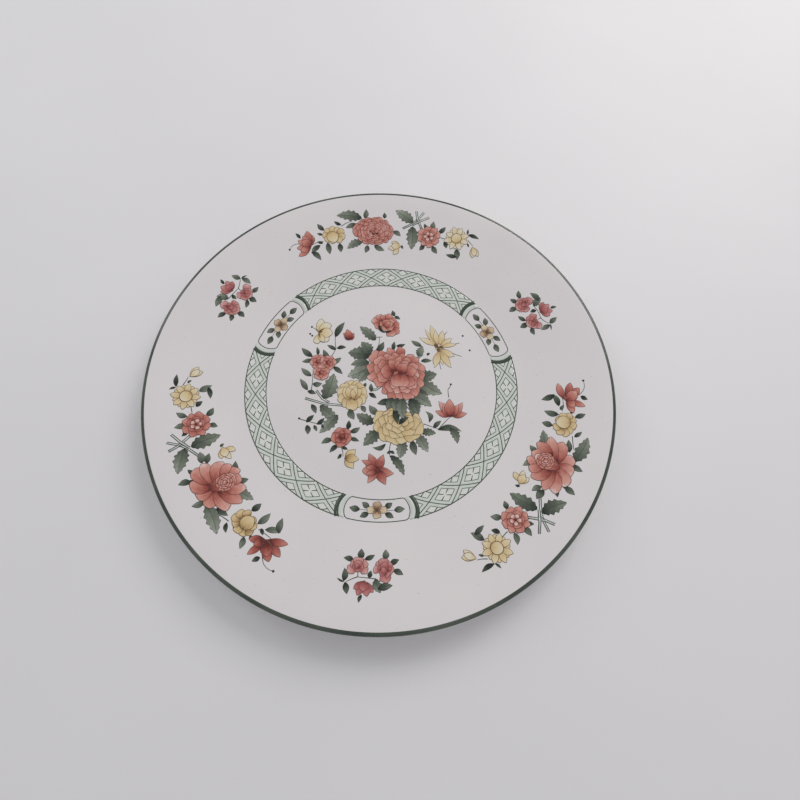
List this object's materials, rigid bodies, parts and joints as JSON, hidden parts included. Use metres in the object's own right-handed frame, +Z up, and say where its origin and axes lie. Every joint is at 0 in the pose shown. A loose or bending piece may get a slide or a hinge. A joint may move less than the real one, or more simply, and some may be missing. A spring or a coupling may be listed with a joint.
{
  "type": "china dinner plate",
  "caption": "Shallow round china dinner plate on a foot ring, with a green edge line, a trellis band with flower cartouches, and floral sprays on its side and well.",
  "frame": {"origin": "centre of the foot ring, on the surface that the plate stands on", "axes": "+Z up, square to the foot ring; +Y through the middle of the large spray with the dense peony; one flower cartouche lies on -Y"},
  "size_m": [0.265, 0.265, 0.018],
  "materials": {
    "porcelain": "bare fired porcelain, slightly grey and matt where the foot ring is unglazed",
    "glaze": "clear glossy glaze over white porcelain, faintly warm",
    "edge_green": "dark grey-green enamel line, thinner towards its borders",
    "tint_green": "pale green enamel wash",
    "lattice_green": "dark green enamel line work",
    "leaf_green": "grey-green enamel, shaded and veined",
    "coral_enamel": "coral enamel, shaded, with darker outlines",
    "yellow_enamel": "cream-yellow enamel with ochre outlines",
    "tan_enamel": "tan-yellow enamel with a brown centre"
  },
  "bodies": {
    "root": {"body": "porcelain", "glaze_coat": "glaze", "base_glaze": "glaze", "edge_line": "edge_green", "trellis_tint_1": "tint_green", "trellis_tint_2": "tint_green", "trellis_tint_3": "tint_green", "trellis_lines_1": "lattice_green", "trellis_lines_2": "lattice_green", "trellis_lines_3": "lattice_green", "cartouche_frame_1": "lattice_green", "cartouche_frame_2": "lattice_green", "cartouche_frame_3": "lattice_green", "cartouche_flower_1": "tan_enamel", "cartouche_flower_2": "tan_enamel", "cartouche_flower_3": "tan_enamel", "cartouche_leaves_1": "leaf_green", "cartouche_leaves_2": "leaf_green", "cartouche_leaves_3": "leaf_green", "spray_coral_1": "coral_enamel", "spray_coral_2": "coral_enamel", "spray_coral_3": "coral_enamel", "spray_yellow_1": "yellow_enamel", "spray_yellow_2": "yellow_enamel", "spray_yellow_3": "yellow_enamel", "spray_leaves_1": "leaf_green", "spray_leaves_2": "leaf_green", "spray_leaves_3": "leaf_green", "sprig_roses_1": "coral_enamel", "sprig_roses_2": "coral_enamel", "sprig_roses_3": "coral_enamel", "sprig_leaves_1": "leaf_green", "sprig_leaves_2": "leaf_green", "sprig_leaves_3": "leaf_green", "bouquet_coral": "coral_enamel", "bouquet_yellow": "yellow_enamel", "bouquet_leaves": "leaf_green"}
  },
  "joints": []
}
